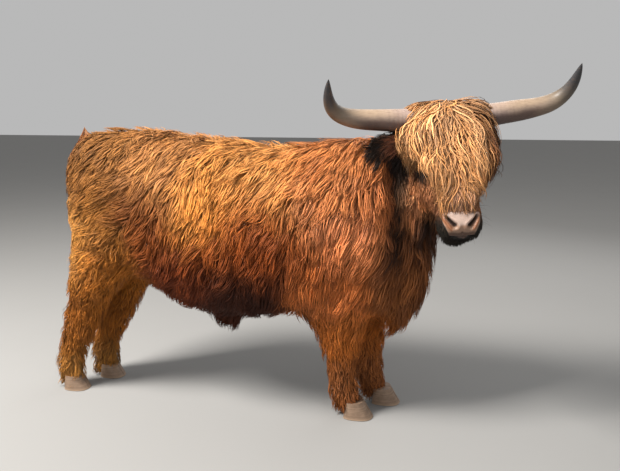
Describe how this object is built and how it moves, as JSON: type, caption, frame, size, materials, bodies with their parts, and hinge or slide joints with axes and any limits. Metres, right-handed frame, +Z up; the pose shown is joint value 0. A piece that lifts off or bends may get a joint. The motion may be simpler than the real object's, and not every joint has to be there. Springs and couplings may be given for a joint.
{
  "type": "highland bull",
  "caption": "Life-size shaggy highland bull standing still with its head turned, long wavy fringe over its eyes, wide upcurved horns and feathered legs.",
  "frame": {"origin": "bottom centre of the bounding box, on the floor that the hooves stand on", "axes": "+X the way the body faces, +Y the animal's left, +Z up"},
  "size_m": [2.341, 0.7274, 1.5241],
  "materials": {
    "coat": "long shaggy hair, ginger red, gold along the back",
    "fringe": "long wavy hair, golden",
    "dark_hair": "short dark hair",
    "horn": "smooth keratin, cream with dark tips",
    "hoof": "worn grey keratin",
    "eye": "wet, glossy"
  },
  "bodies": {
    "root": {"barrel": "coat", "brisket": "coat", "ear_left": "dark_hair", "ear_right": "dark_hair", "eye_left": "eye", "eye_right": "eye", "fore_shank_left": "coat", "fore_shank_right": "coat", "forearm_left": "coat", "forearm_right": "coat", "fringe": "fringe", "head": "coat", "hind_shank_left": "coat", "hind_shank_right": "coat", "hoof_fore_left_inner": "hoof", "hoof_fore_left_outer": "hoof", "hoof_fore_right_inner": "hoof", "hoof_fore_right_outer": "hoof", "hoof_hind_left_inner": "hoof", "hoof_hind_left_outer": "hoof", "hoof_hind_right_inner": "hoof", "hoof_hind_right_outer": "hoof", "horn_left": "horn", "horn_right": "horn", "neck": "coat", "rump": "coat", "sheath": "coat", "shoulders": "coat", "tail": "coat", "thigh_left": "coat", "thigh_right": "coat"}
  },
  "joints": []
}
